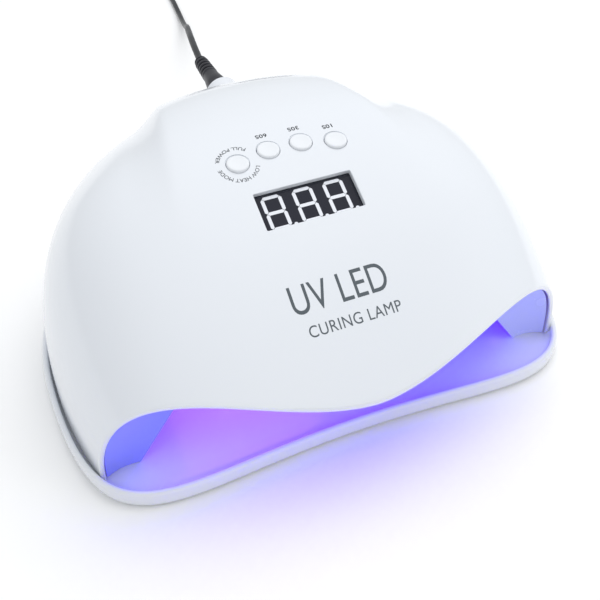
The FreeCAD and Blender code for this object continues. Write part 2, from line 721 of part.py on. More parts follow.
tie_outside = box("tie_outside", "2 * sizes.coil_half_wide + 3.4", "sizes.tie_wide", "sizes.coil_high + 1.1")
tie_inside = box("tie_inside", "2 * sizes.coil_half_wide + 1.8", "sizes.tie_wide", "sizes.coil_high + 0.2")
tie_inside.Placement.Base = Vector(0.8, 0, 0)
tie = cut("tie", tie_outside, tie_inside)
tie.Placement.Base = Vector(size("coil_x") + size("coil_radius") - size("coil_half_wide") - 1.7,
                            size("coil_y") - size("tie_wide") / 2, 0)
keep(tie, "coil_tie")

# ---------------------------------------------------------------- mains adapter
shell = rounded_block("adapter_shell", "adapter_long", "adapter_wide", "adapter_high", "adapter_round")
shell.Placement.Base = Vector(size("adapter_x"), size("adapter_y"), 0)
keep(shell, "adapter_shell")
side = size("adapter_y") + size("adapter_wide") / 2
cap = box("cap", "sizes.adapter_long - 9", "sizes.cap_thick", "sizes.adapter_high - 9")
cap.Placement.Base = Vector(size("adapter_x") - (size("adapter_long") - 9) / 2, side, 4.5)
keep(cap, "adapter_cap")
prongs = []
for across in (-6.35, 6.35):
    prong = box("prong", "sizes.prong_thick", "sizes.prong_long", "sizes.prong_wide")
    prong.Placement.Base = Vector(size("adapter_x") + across - size("prong_thick") / 2, side + size("cap_thick"),
                                  (size("adapter_high") - size("prong_wide")) / 2)
    prongs.append(prong)
group("adapter_prongs", prongs)
relief = bind(doc.addObject("Part::Cone", "relief"), Radius1="sizes.cord_radius + 1.0", Radius2="4.0",
              Height="sizes.relief_long")
relief.Placement = Placement(Vector(size("adapter_x") - size("adapter_long") / 2 - size("relief_long"),
                                    size("adapter_y"), 13.5), Rotation(Vector(0, 1, 0), 90))
keep(relief, "adapter_relief")

# ---------------------------------------------------------------- base tray
FEET = [(-86.0, -66.0), (86.0, -66.0), (-84.0, 50.0), (84.0, 50.0)]


def make_tray():
    outside = slab(tray_outline(0), size("tray_bottom"), size("tray_rim"))
    inside = slab(tray_outline(size("tray_wall")), size("tray_floor"), size("tray_rim") + 5)
    sunk = size("tray_floor") - size("magnet_thick")
    pockets = [Part.makeCylinder(size("magnet_radius") + 0.05, 9, Vector(x, y, sunk)) for x, y in MAGNETS]
    return outside.cut([inside] + pockets)


keep(feature("base_tray", make_tray()), "base_tray")
discs("tray_magnets", MAGNETS, "sizes.magnet_radius", "sizes.magnet_thick",
      size("tray_floor") - size("magnet_thick"))
discs("rubber_feet", FEET, "sizes.foot_radius", "sizes.foot_high", 0.0)

# ---------------------------------------------------------------- check and write
doc.recompute()
for obj in doc.Objects:
    if "Invalid" in obj.State or "Error" in obj.State:
        raise RuntimeError("%s failed: %s" % (obj.Name, obj.State))
os.makedirs("parts", exist_ok=True)
for obj in PARTS:
    if obj.Shape.isNull() or not obj.Shape.isValid():
        raise RuntimeError("%s has no valid shape" % obj.Label)
    obj.Shape.exportStep("parts/%s.step" % obj.Label)
print(len(PARTS), "parts written")
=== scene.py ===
# UV curing lamp: the looks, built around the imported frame. Lengths are in millimetres in the frame's own
# axes, and MM turns them into Blender's metres.
import math

import bmesh
import bpy
import numpy as np
from mathutils import Matrix, Vector


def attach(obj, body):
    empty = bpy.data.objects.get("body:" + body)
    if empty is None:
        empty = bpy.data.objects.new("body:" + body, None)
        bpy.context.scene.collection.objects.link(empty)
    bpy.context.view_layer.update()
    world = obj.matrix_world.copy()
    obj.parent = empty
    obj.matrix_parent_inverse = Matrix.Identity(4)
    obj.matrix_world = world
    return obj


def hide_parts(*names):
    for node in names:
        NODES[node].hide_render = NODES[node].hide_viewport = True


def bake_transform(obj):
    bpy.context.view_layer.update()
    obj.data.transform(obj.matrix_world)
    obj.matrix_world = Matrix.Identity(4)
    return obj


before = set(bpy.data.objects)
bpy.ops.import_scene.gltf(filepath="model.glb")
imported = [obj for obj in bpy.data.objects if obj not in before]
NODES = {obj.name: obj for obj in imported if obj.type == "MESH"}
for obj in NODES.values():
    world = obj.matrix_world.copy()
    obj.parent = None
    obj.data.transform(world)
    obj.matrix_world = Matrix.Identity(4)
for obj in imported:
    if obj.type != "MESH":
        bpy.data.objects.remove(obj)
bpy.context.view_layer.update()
MM = 0.001
scene = bpy.context.scene

# ---------------------------------------------------------------- camera
CAMERA_PLACE = Vector((-101.85, -278.75, 283.65)) * MM
CAMERA_TURN = math.radians(-21.44)   # the camera stands left of the opening
CAMERA_HEIGHT = math.radians(42.99)  # and looks down at this angle
CAMERA_ROLL = math.radians(-1.48)
CAMERA_LENS = 50.9


def make_camera():
    data = bpy.data.cameras.new("camera")
    data.lens = CAMERA_LENS
    data.clip_start = 0.01
    data.clip_end = 20.0
    camera = bpy.data.objects.new("camera", data)
    scene.collection.objects.link(camera)
    back = Vector((math.sin(CAMERA_TURN) * math.cos(CAMERA_HEIGHT),
                   -math.cos(CAMERA_TURN) * math.cos(CAMERA_HEIGHT), math.sin(CAMERA_HEIGHT)))
    right = Vector((math.cos(CAMERA_TURN), math.sin(CAMERA_TURN), 0.0))
    up = back.cross(right)
    turned_right = right * math.cos(CAMERA_ROLL) + up * math.sin(CAMERA_ROLL)
    turned_up = up * math.cos(CAMERA_ROLL) - right * math.sin(CAMERA_ROLL)
    camera.matrix_world = Matrix.LocRotScale(
        CAMERA_PLACE, Matrix((turned_right, turned_up, back)).transposed().to_quaternion(), None)
    scene.camera = camera


make_camera()


# ---------------------------------------------------------------- material helpers
DRIFT_SCALE, SMUDGE_SCALE = 22.0, 60.0
PLASTIC_IOR, COAT_ROUGHNESS = 1.46, 0.04
NOISE_LOW, NOISE_HIGH = 0.3, 0.7  # where most of a noise texture's values lie


def new_material(name):
    material = bpy.data.materials.new(name)
    material.use_nodes = True
    return material, material.node_tree.nodes, material.node_tree.links


def noise_node(nodes, links, scale, detail=3.0, roughness=0.5):
    where = nodes.new("ShaderNodeTexCoord")
    noise = nodes.new("ShaderNodeTexNoise")
    noise.inputs["Scale"].default_value = scale
    noise.inputs["Detail"].default_value = detail
    noise.inputs["Roughness"].default_value = roughness
    links.new(where.outputs["Object"], noise.inputs["Vector"])
    return noise


def spread_node(nodes, links, source, low, high):
    """Maps a 0 to 1 texture to a range of numbers."""
    spread = nodes.new("ShaderNodeMapRange")
    spread.inputs["From Min"].default_value = NOISE_LOW
    spread.inputs["From Max"].default_value = NOISE_HIGH
    spread.inputs["To Min"].default_value = low
    spread.inputs["To Max"].default_value = high
    links.new(source, spread.inputs["Value"])
    return spread.outputs["Result"]


def mix_node(nodes, links, factor, first, second):
    """Mixes two colours, each a tuple or a socket, by a factor socket."""
    mix = nodes.new("ShaderNodeMix")
    mix.data_type = "RGBA"
    sockets = [s for s in mix.inputs if s.type == "RGBA"]
    for socket, colour in zip(sockets, (first, second)):
        if isinstance(colour, tuple):
            socket.default_value = (*colour, 1.0)
        else:
            links.new(colour, socket)
    links.new(factor, mix.inputs["Factor"])
    return [s for s in mix.outputs if s.type == "RGBA"][0]


def moulded(name, colour, shade, rough, grain=900.0, grain_depth=0.00002, grain_strength=0.15, coat=0.0,
            metallic=0.0):
    """Moulded or worked surface: soft tone drift, uneven gloss and a fine surface grain."""
    material, nodes, links = new_material(name)
    shader = nodes["Principled BSDF"]
    drift = noise_node(nodes, links, DRIFT_SCALE)
    links.new(mix_node(nodes, links, drift.outputs["Fac"], colour, shade), shader.inputs["Base Color"])
    smudge = noise_node(nodes, links, SMUDGE_SCALE, 5.0)
    links.new(spread_node(nodes, links, smudge.outputs["Fac"], rough * 0.85, rough * 1.2),
              shader.inputs["Roughness"])
    grain_noise = noise_node(nodes, links, grain, 2.0)
    bump = nodes.new("ShaderNodeBump")
    bump.inputs["Strength"].default_value = grain_strength
    bump.inputs["Distance"].default_value = grain_depth
    links.new(grain_noise.outputs["Fac"], bump.inputs["Height"])
    links.new(bump.outputs["Normal"], shader.inputs["Normal"])
    shader.inputs["Metallic"].default_value = metallic
    shader.inputs["IOR"].default_value = PLASTIC_IOR
    shader.inputs["Coat Weight"].default_value = coat
    shader.inputs["Coat Roughness"].default_value = COAT_ROUGHNESS
    return material


def ramp_node(nodes, links, source, start, end):
    """0 to 1 as a socket goes from start to end, eased."""
    ramp = nodes.new("ShaderNodeMapRange")
    ramp.interpolation_type = "SMOOTHSTEP"
    ramp.inputs["From Min"].default_value = start
    ramp.inputs["From Max"].default_value = end
    links.new(source, ramp.inputs["Value"])
    return ramp.outputs["Result"]


def place_sockets(nodes, links):
    """X, Y and Z of a point of the piece, each as a socket."""
    where = nodes.new("ShaderNodeTexCoord")
    split = nodes.new("ShaderNodeSeparateXYZ")
    links.new(where.outputs["Object"], split.inputs["Vector"])
    return split.outputs


def glowing(name, colour, shade, rough, tints, strength, axis, start, end, fade=None):
    """Plastic with an emission colour that drifts between two tints along an axis from start to end, and
    fade, if any, takes it to a third tint as Z goes from fade[0] to fade[1]. On the lining pieces this
    emission is painted light standing in for the LEDs' light falling on them; on the lenses it is the LEDs'
    own light."""
    material = moulded(name, colour, shade, rough, coat=0.25)
    nodes, links = material.node_tree.nodes, material.node_tree.links
    shader = nodes["Principled BSDF"]
    place = place_sockets(nodes, links)
    glow = mix_node(nodes, links, ramp_node(nodes, links, place[axis], start, end), *tints)
    if fade:
        glow = mix_node(nodes, links, ramp_node(nodes, links, place["Z"], fade[0], fade[1]), glow, fade[2])
    links.new(glow, shader.inputs["Emission Color"])
    shader.inputs["Emission Strength"].default_value = strength
    return material


MATERIALS = {
    "shell_white": moulded("shell_white", (0.80, 0.825, 0.865), (0.785, 0.815, 0.86), 0.2, coat=0.5),
    "tray_white": moulded("tray_white", (0.80, 0.82, 0.86), (0.78, 0.805, 0.85), 0.22, coat=0.4),
    "button_white": moulded("button_white", (0.82, 0.84, 0.87), (0.80, 0.825, 0.86), 0.3),
    "ring_white": moulded("ring_white", (0.74, 0.75, 0.78), (0.70, 0.71, 0.75), 0.42),
    "print_grey": moulded("print_grey", (0.085, 0.10, 0.115), (0.11, 0.13, 0.145), 0.45),
    "print_dark": moulded("print_dark", (0.03, 0.034, 0.042), (0.045, 0.05, 0.06), 0.45),
    "cord_black": moulded("cord_black", (0.022, 0.023, 0.026), (0.03, 0.031, 0.034), 0.42, 1500.0),
    "plug_black": moulded("plug_black", (0.016, 0.016, 0.022), (0.024, 0.024, 0.03), 0.34, 1200.0),
    "adapter_black": moulded("adapter_black", (0.02, 0.02, 0.022), (0.028, 0.028, 0.031), 0.4, 2600.0,
                             0.00005, 0.6),
    "tie_black": moulded("tie_black", (0.03, 0.03, 0.03), (0.05, 0.05, 0.052), 0.75, 4200.0, 0.0001, 1.0),
    "rubber_grey": moulded("rubber_grey", (0.12, 0.12, 0.125), (0.15, 0.15, 0.155), 0.72, 2400.0,
                           0.00006, 0.6),
    "nickel": moulded("nickel", (0.62, 0.61, 0.59), (0.56, 0.55, 0.54), 0.24, 800.0, metallic=1.0),
    "screw_steel": moulded("screw_steel", (0.5, 0.5, 0.51), (0.42, 0.42, 0.44), 0.33, 1500.0, metallic=1.0),
    "brass": moulded("brass", (0.74, 0.60, 0.33), (0.66, 0.52, 0.28), 0.26, 900.0, metallic=1.0),
    "display_black": moulded("display_black", (0.008, 0.009, 0.018), (0.012, 0.013, 0.026), 0.16, 500.0,
                             coat=0.3),
    "segment_white": moulded("segment_white", (0.86, 0.88, 0.92), (0.78, 0.80, 0.86), 0.35),
    "board_green": moulded("board_green", (0.02, 0.16, 0.06), (0.03, 0.2, 0.08), 0.38, 1800.0, 0.00006, 0.5),
    "board_white": moulded("board_white", (0.75, 0.74, 0.78), (0.70, 0.69, 0.74), 0.4, 1800.0, 0.00004, 0.4),
    "component_black": moulded("component_black", (0.03, 0.03, 0.032), (0.05, 0.05, 0.052), 0.5, 2600.0),
    # painted light: the lining is white plastic, and its violet colour and its emission, magenta low down
    # and blue higher up, stand in for the LEDs' light falling on it
    "liner_glow": glowing("liner_glow", (0.16, 0.07, 0.60), (0.13, 0.05, 0.58), 0.2,
                          ((0.30, 0.0, 0.70), (0.07, 0.03, 0.75)), 0.55, "Z", 0.006, 0.04),
    # painted light: the flare panel is white plastic, and its lavender colour and its emission, deep blue at
    # the left and pale lavender at the right, stand in for the LEDs' light on it; near the lip the emission
    # fades to dark blue, a painted shade
    "flare_painted_glow": glowing("flare_painted_glow", (0.27, 0.29, 0.62), (0.25, 0.27, 0.60), 0.24,
                          ((0.06, 0.07, 0.56), (0.30, 0.33, 0.58)), 0.6, "X", -0.09, 0.07,
                          (0.036, 0.042, (0.03, 0.02, 0.16))),
    "lens_uv": glowing("lens_uv", (0.75, 0.70, 0.95), (0.70, 0.65, 0.95), 0.08,
                       ((0.45, 0.30, 1.0), (0.50, 0.36, 1.0)), 2.4, "Z", 0.0, 0.07),
}


# ---------------------------------------------------------------- mesh helpers
def add_piece(name, points, faces, material, smooth_angle=38.0):
    """A mesh object from points in millimetres."""
    data = bpy.data.meshes.new(name)
    data.from_pydata((np.asarray(points, float) * MM).tolist(), [], faces)
    data.validate()
    piece = bpy.data.objects.new(name, data)
    scene.collection.objects.link(piece)
    piece.data.materials.append(MATERIALS[material])
    tidy_normals(piece, smooth_angle)
    return piece


def tidy_normals(piece, smooth_angle=38.0):
    """Faces outward, smooth shading, and sharp edges only where the surface really turns."""
    work = bmesh.new()
    work.from_mesh(piece.data)
    bmesh.ops.remove_doubles(work, verts=work.verts, dist=1e-7)
    bmesh.ops.recalc_face_normals(work, faces=work.faces)
    limit = math.radians(smooth_angle)
    for face in work.faces:
        face.smooth = True
    for edge in work.edges:
        edge.smooth = not (edge.is_manifold and edge.calc_face_angle(0.0) > limit)
    work.to_mesh(piece.data)
    work.free()


def ring_faces(rows, columns, closed=False):
    """Quads between rows of points that are stored one after the other."""
    faces = []
    last = columns if closed else columns - 1
    for row in range(rows - 1):
        for column in range(last):
            after = (column + 1) % columns
            faces.append((row * columns + column, row * columns + after,
                          (row + 1) * columns + after, (row + 1) * columns + column))
    return faces


def turned_points(profile, steps):
    """A lathe mesh about local Z. Profile is (radius, height) pairs; a radius of 0 is a pole."""
    points, faces, rings = [], [], []
    for radius, height in profile:
        if radius < 1e-6:
            rings.append([len(points)])
            points.append((0.0, 0.0, height))
            continue
        rings.append(list(range(len(points), len(points) + steps)))
        for step in range(steps):
            turn = 2 * math.pi * step / steps
            points.append((radius * math.cos(turn), radius * math.sin(turn), height))
    for low, high in zip(rings, rings[1:]):
        for step in range(steps):
            after = (step + 1) % steps
            if len(low) == 1:
                faces.append((low[0], high[after], high[step]))
            elif len(high) == 1:
                faces.append((low[step], low[after], high[0]))
            else:
                faces.append((low[step], low[after], high[after], high[step]))
    return points, faces


def placed(parts):
    """Joins (points, faces, matrix) parts into one list of points and faces."""
    all_points, all_faces = [], []
    for points, faces, matrix in parts:
        start = len(all_points)
        all_points += [tuple(matrix @ Vector(p)) for p in points]
        all_faces += [tuple(index + start for index in face) for face in faces]
    return all_points, all_faces


def rounded_outline(long, wide, radius, steps=6):
    """A centred rectangle with round corners, counter-clockwise."""
    outline = []
    for corner, (sx, sy) in enumerate(((1, 1), (-1, 1), (-1, -1), (1, -1))):
        for step in range(steps + 1):
            turn = math.pi / 2 * (corner + step / steps)
            outline.append((sx * (long / 2 - radius) + radius * math.cos(turn),
                            sy * (wide / 2 - radius) + radius * math.sin(turn)))
    return outline


def stacked(outlines):
    """A closed solid through outlines of equal length: each is (list of xy, height)."""
    count = len(outlines[0][0])
    points = [(x, y, height) for outline, height in outlines for x, y in outline]
    faces = ring_faces(len(outlines), count, True)
    faces.append(tuple(range(count))[::-1])
    faces.append(tuple(range((len(outlines) - 1) * count, len(outlines) * count)))
    return points, faces


def cut_holes(piece, points, faces):
    """Takes a set of closed tools out of a piece."""
    tool = add_piece("cutting_tool", points, faces, "ring_white")
    modifier = piece.modifiers.new("holes", "BOOLEAN")
    modifier.operation = "DIFFERENCE"
    modifier.solver = "EXACT"
    modifier.object = tool
    shown = bpy.context.evaluated_depsgraph_get()
    cut = bpy.data.meshes.new_from_object(piece.evaluated_get(shown))
    piece.modifiers.clear()
    piece.data = cut
    bpy.data.objects.remove(tool)
    tidy_normals(piece)


def towards_rear(x, y, z):
    """Placement whose local Z points to the rear."""
    return Matrix.Translation(Vector((x, y, z))) @ Matrix.Rotation(-math.pi / 2, 4, "X")


def finish_piece(piece, body, slot, *replaced):
    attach(piece, body)
    if replaced:
        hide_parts(*replaced)
    return piece


# ---------------------------------------------------------------- housing skins, as the CAD part has them
HALF_WIDTH, CROWN_HEIGHT, WALL_CENTRE_Y, REAR_Y = 111.5, 101.0, -12.0, 96.0
LIP_Y, LIP_CORNER_Y, LIP_HEIGHT, CREST_Y, SHELL_BOTTOM = -99.5, -66.0, 41.5, 20.0, 4.4
SHELL_WALL, FRONT_TAPER = 2.2, 0.23
ROOF_POWER, SIDE_POWER, DROP_POWER, PLAN_POWER, LIP_POWER = 1.88, 4.2, 2.1, 2.2, 1.75
HUMP_DROP, HUMP_START_Y, HUMP_FULL_Y = 8.0, -46.0, 52.0
HUMP_HALF, HUMP_SPLAY, SHOULDER, SHOULDER_SPLAY = 46.3, 0.17, 17.5, 0.05
CREASE_SOFT, VALLEY_POWER = 0.06, 1.9
CAVITY_ROOF, CAVITY_BEND_Y, CAVITY_LIP_Z, CAVITY_ROOF_POWER = 68.0, -35.0, 38.0, 1.6
CAVITY_FRONT_Y, CAVITY_SIDE_Y, CAVITY_SIDE_FROM, LINER_WALL = -90.0, -60.6, 0.62, 1.8
FLARE_GAP, FLARE_SET, FLARE_EDGE, FLARE_SAG, FLARE_BACK = 0.4, 1.5, 0.6, 1.3, 2.2
MOUTH_HALF, MOUTH_LEAN, MOUTH_KNEE_X, MOUTH_KNEE, MOUTH_ROUND, MOUTH_AHEAD = 87.0, 0.69, 56.0, 0.76, 6.0, 0.1


def smooth(step):
    """Eases 0 to 1, and stays there outside that range."""
    step = np.clip(step, 0.0, 1.0)
    return step * step * (3 - 2 * step)


def crown(y):
    """Height of the outer skin along its middle."""
    part = np.clip((CREST_Y - y) / (CREST_Y - LIP_Y), 0.0, None)
    return CROWN_HEIGHT - (CROWN_HEIGHT - LIP_HEIGHT) * part ** ROOF_POWER


def crown_slope(y):
    return crown(y + 0.5) - crown(y - 0.5)


def hump_drop(x, y):
    """How far the shoulders lie below the raised middle: a crease above, a soft valley below."""
    along = smooth((y - HUMP_START_Y) / (HUMP_FULL_Y - HUMP_START_Y))
    start = HUMP_HALF - HUMP_SPLAY * y
    across = (np.abs(x) - start) / (SHOULDER - SHOULDER_SPLAY * y)
    creased = (np.sqrt(across ** 2 + CREASE_SOFT ** 2) + across) / 2
    return HUMP_DROP * along * (1 - (1 - np.clip(creased, 0, 1)) ** VALLEY_POWER)


def width_at(half, y):
    """Half width of a skin, which narrows towards the front."""
    forward = np.clip(WALL_CENTRE_Y - y, 0.0, None) / 100.0
    return half * (1 - FRONT_TAPER * forward ** 2)


def shell_skin(inset):
    return {"half": HALF_WIDTH - inset, "rear": REAR_Y - inset, "power": SIDE_POWER,
            "roof": lambda x, y: crown(y) - inset * np.hypot(1, crown_slope(y)) - hump_drop(x, y),
            "front": lambda f: LIP_Y + (LIP_CORNER_Y - LIP_Y) * f ** LIP_POWER}


def cavity_roof(y):
    part = np.clip((CAVITY_BEND_Y - y) / (CAVITY_BEND_Y - LIP_Y), 0.0, None)
    return CAVITY_ROOF - (CAVITY_ROOF - CAVITY_LIP_Z) * part ** CAVITY_ROOF_POWER


def cavity_front(share):
    """Front edge of the liner: far forward in the middle, behind the cheeks of the mouth at the sides."""
    return CAVITY_FRONT_Y + (CAVITY_SIDE_Y - CAVITY_FRONT_Y) * smooth(share / CAVITY_SIDE_FROM)


def skin_height(skin, x, y, ring):
    fall = np.clip(1 - ring ** skin["power"], 0.0, None) ** (1 / DROP_POWER)
    return SHELL_BOTTOM + (skin["roof"](x, y) - SHELL_BOTTOM) * fall


def skin_grid(skin, us, vs):
    """Points of a skin: u runs across from -1 to 1, v from -1 at the front edge to 1 at the rear edge."""
    u, v = np.meshgrid(us, vs)
    front_ring = np.abs(u) * (2 - np.abs(u))
    front_y = WALL_CENTRE_Y + v * (WALL_CENTRE_Y - skin["front"](front_ring))
    front_x = np.sign(u) * width_at(skin["half"], front_y) * front_ring
    across = u * np.sqrt(1 - np.clip(v, 0, 1) ** 2 / 2)
    along = np.clip(v, 0, 1) * np.sqrt(1 - u ** 2 / 2)
    reach = np.clip(np.hypot(across, along), 0, 1)
    rear_ring = reach * (2 - reach)
    norm = (np.abs(across) ** PLAN_POWER + along ** PLAN_POWER) ** (1 / PLAN_POWER)
    norm = np.where(norm < 1e-9, 1.0, norm)
    rear_x = skin["half"] * rear_ring * across / norm
    rear_y = WALL_CENTRE_Y + (skin["rear"] - WALL_CENTRE_Y) * rear_ring * along / norm
    ahead = v < 0
    x, y = np.where(ahead, front_x, rear_x), np.where(ahead, front_y, rear_y)
    ring = np.where(ahead, front_ring, rear_ring)
    return np.stack([x, y, skin_height(skin, x, y, ring)], axis=-1)


def skin_top(x, y):
    """Height of the housing's outer skin near its middle."""
    ring = np.abs(x) / width_at(HALF_WIDTH, y)
    return skin_height(shell_skin(0.0), x, y, ring)


def on_skin(x, y, tilt):
    """Placement on the outer skin whose local Z leans towards the front by tilt degrees."""
    spot = Vector((x, y, float(skin_top(x, y))))
    return Matrix.Translation(spot) @ Matrix.Rotation(math.radians(tilt), 4, "X")


# ---------------------------------------------------------------- controls: places
BUTTONS = {"mode": -21.0, "60s": -7.0, "30s": 7.0, "10s": 21.0}
BUTTON_ARC_Y, BUTTON_ARC_RISE, BUTTON_SPAN, BUTTON_TILT = -10.0, 3.5, 21.0, 9.0
DISPLAY_Y, WINDOW_LONG, WINDOW_WIDE, MODULE_SET = -32.5, 41.0, 16.6, 2.6
INLET_X, INLET_Z, BEZEL_HOLE, PLUG_START_Y = 2.5, 74.0, 8.7, 85.0
VENT_WIDE, VENT_HIGH, VENT_STEP, VENT_LOW, VENT_FROM_Y = 2.4, 16.0, 8.0, 14.0, 80.0
BUTTON_HOLE, BUTTON_HOLE_EDGE, WINDOW_CORNER, WINDOW_EDGE = 4.8, 0.35, 0.5, 0.5
TOOL_DEEP, TOOL_PROUD = 9.0, 5.0


def button_place(x):
    return on_skin(x, BUTTON_ARC_Y + BUTTON_ARC_RISE * (1 - (x / BUTTON_SPAN) ** 2), BUTTON_TILT)


def display_place():
    return on_skin(0.0, DISPLAY_Y, math.degrees(math.atan(float(crown_slope(DISPLAY_Y)))))


# ---------------------------------------------------------------- top shell
SHELL_ACROSS, SHELL_AHEAD, SHELL_BEHIND = 176, 62, 76
LIP_START, LIP_BULGE = 0.993, 0.55


def shell_rim(outer, inner, steps=6):
    """Rows of points from the outer skin's edge to the inner skin's edge, rounded at the lip."""
    rows = []
    for step in range(1, steps):
        part = step / steps
        row = outer * (1 - part) + inner * part
        row[:, 1] -= LIP_BULGE * math.sqrt(1 - abs(2 * part - 1) ** 3) * lip_share(outer)
        rows.append(row)
    return rows


def lip_share(edge):
    """1 along the lip, 0 along the foot."""
    return np.clip((edge[:, 2] - SHELL_BOTTOM) / 2.0, 0.0, 1.0)


def make_shell():
    us = np.linspace(-1, 1, SHELL_ACROSS + 1)
    vs = np.concatenate([np.linspace(-LIP_START, 0, SHELL_AHEAD, endpoint=False),
                         np.linspace(0, 1, SHELL_BEHIND + 1)])
    outer, inner = skin_grid(shell_skin(0.0), us, vs), skin_grid(shell_skin(SHELL_WALL), us, vs)
    rows, columns = len(vs), len(us)
    points = np.concatenate([outer.reshape(-1, 3), inner.reshape(-1, 3)])
    count = rows * columns
    faces = ring_faces(rows, columns)
    faces += [tuple(i + count for i in face[::-1]) for face in ring_faces(rows, columns)]
    edge = list(range(columns)) + [r * columns + columns - 1 for r in range(1, rows)]
    edge += [(rows - 1) * columns + c for c in range(columns - 2, -1, -1)]
    edge += [r * columns for r in range(rows - 2, 0, -1)]
    edge = np.array(edge)
    between = shell_rim(points[edge], points[edge + count])
    start = len(points)
    points = np.concatenate([points] + between)
    loops = [edge]
    loops += [np.arange(len(edge)) + start + k * len(edge) for k in range(len(between))]
    loops.append(edge + count)
    for low, high in zip(loops, loops[1:]):
        for k in range(len(edge)):
            after = (k + 1) % len(edge)
            faces.append((int(low[after]), int(low[k]), int(high[k]), int(high[after])))
    shell = add_piece("top_shell_skin", points, faces, "shell_white")
    cut_holes(shell, *placed(shell_tools()))
    weighted = shell.modifiers.new("even_shading", "WEIGHTED_NORMAL")
    weighted.keep_sharp = True
    weighted.mode = "FACE_AREA"
    finish_piece(shell, "housing", "shell_white", "top_shell")


def edge_relief(radius, steps=4):
    """(outset, height) pairs of a rounded hole edge that opens upward to height 0."""
    pairs = []
    for step in range(steps + 1):
        turn = math.pi / 2 * step / steps
        pairs.append((radius * (1 - math.cos(turn)), -radius * (1 - math.sin(turn))))
    return pairs


def shell_tools():
    """Closed tools for the window, the button holes, the socket hole and the vents."""
    relief = edge_relief(WINDOW_EDGE)
    levels = [(0.0, -TOOL_DEEP)] + relief + [(relief[-1][0], TOOL_PROUD)]
    window = [(rounded_outline(WINDOW_LONG + 2 * out, WINDOW_WIDE + 2 * out, WINDOW_CORNER + out, 4), height)
              for out, height in levels]
    tools = [(*stacked(window), display_place())]
    hole = [(0.0, -TOOL_DEEP), (BUTTON_HOLE, -TOOL_DEEP)]
    hole += [(BUTTON_HOLE + out, height) for out, height in edge_relief(BUTTON_HOLE_EDGE)]
    hole += [(BUTTON_HOLE + BUTTON_HOLE_EDGE, TOOL_PROUD), (0.0, TOOL_PROUD)]
    tools += [(*turned_points(hole, 64), button_place(x)) for x in BUTTONS.values()]
    socket = [(0, 0), (BEZEL_HOLE, 0), (BEZEL_HOLE, 40), (0, 40)]
    tools.append((*turned_points(socket, 64), towards_rear(INLET_X, 62.0, INLET_Z)))
    outline = rounded_outline(VENT_WIDE, VENT_HIGH, VENT_WIDE / 2 - 0.02)
    for step in range(-3, 4):
        place = towards_rear(step * VENT_STEP, VENT_FROM_Y, VENT_LOW + VENT_HIGH / 2)
        tools.append((*stacked([(outline, height) for height in (0.0, 30.0)]), place))
    return tools


make_shell()


# ---------------------------------------------------------------- liner flare
def mouth_edge(us, lip):
    """Edge of the mouth that belongs to each point of the lip: a roof in the middle, leaning sides."""
    share = np.abs(us) * (2 - np.abs(us))
    knee_u = 1 - math.sqrt(1 - MOUTH_KNEE)
    knee = skin_grid(shell_skin(SHELL_WALL + FLARE_GAP), np.array([knee_u]), np.array([-1.0]))[0, 0, 2]
    drop = (lip[:, 2] - SHELL_BOTTOM) / (knee - SHELL_BOTTOM)
    x = np.where(share < MOUTH_KNEE, MOUTH_KNEE_X * share / MOUTH_KNEE,
                 MOUTH_HALF - (MOUTH_HALF - MOUTH_KNEE_X) * drop)
    behind = LINER_WALL * smooth(x / MOUTH_HALF / CAVITY_SIDE_FROM)
    y = cavity_front(x / MOUTH_HALF) - MOUTH_AHEAD - behind
    side, roof = SHELL_BOTTOM + (MOUTH_HALF - x) / MOUTH_LEAN, cavity_roof(y)
    z = (side + roof - np.hypot(side - roof, MOUTH_ROUND)) / 2
    return np.stack([np.copysign(x, us), y, np.maximum(z, SHELL_BOTTOM)], axis=-1)


FLARE_COLUMNS, FLARE_ROWS, FLARE_TURN_ROWS, FLARE_TURN_FROM = 161, 14, 6, 0.95


def make_flare():
    """The lining's front panel, from the lip back to the mouth, where it turns round to its own back."""
    us = np.linspace(-1, 1, FLARE_COLUMNS)
    lip = skin_grid(shell_skin(SHELL_WALL + FLARE_GAP), us, np.array([-1.0]))[0]
    lip = lip + np.array((0, FLARE_SET, 0))
    mouth = mouth_edge(us, lip)
    normal = np.cross(np.gradient(lip + mouth, axis=0), mouth - lip)
    normal /= np.linalg.norm(normal, axis=1)[:, None]
    bow = normal * FLARE_SAG * smooth(normal[:, 1] / 0.6)[:, None]
    rows = [lip * (1 - part) + mouth * part + bow * 4 * part * (1 - part)
            for part in np.linspace(0.0, FLARE_TURN_FROM, FLARE_ROWS)]
    last, mouth_back = rows[-1], mouth + normal * LINER_WALL
    for part in np.linspace(0.17, 1.0, FLARE_TURN_ROWS):
        rows.append(last * (1 - part) ** 2 + mouth * 2 * part * (1 - part) + mouth_back * part ** 2)
    rows.append((lip + mouth_back) / 2 + normal * FLARE_BACK)
    rows.append(lip + normal * FLARE_EDGE)
    for row in rows:
        row[:, 2] = np.maximum(row[:, 2], SHELL_BOTTOM)
    columns = len(us)
    points = np.concatenate(rows)
    faces = ring_faces(len(rows), columns)
    end = len(rows) - 1
    faces += [(end * columns + c, end * columns + c + 1, c + 1, c) for c in range(columns - 1)]
    for column in (0, columns - 1):
        faces.append(tuple(r * columns + column for r in range(len(rows))))
    # the panel's colour and emission are painted light from the LEDs
    flare = add_piece("liner_flare_panel", points, faces, "flare_painted_glow", 50.0)
    finish_piece(flare, "housing", "liner_white", "liner_flare")


make_flare()


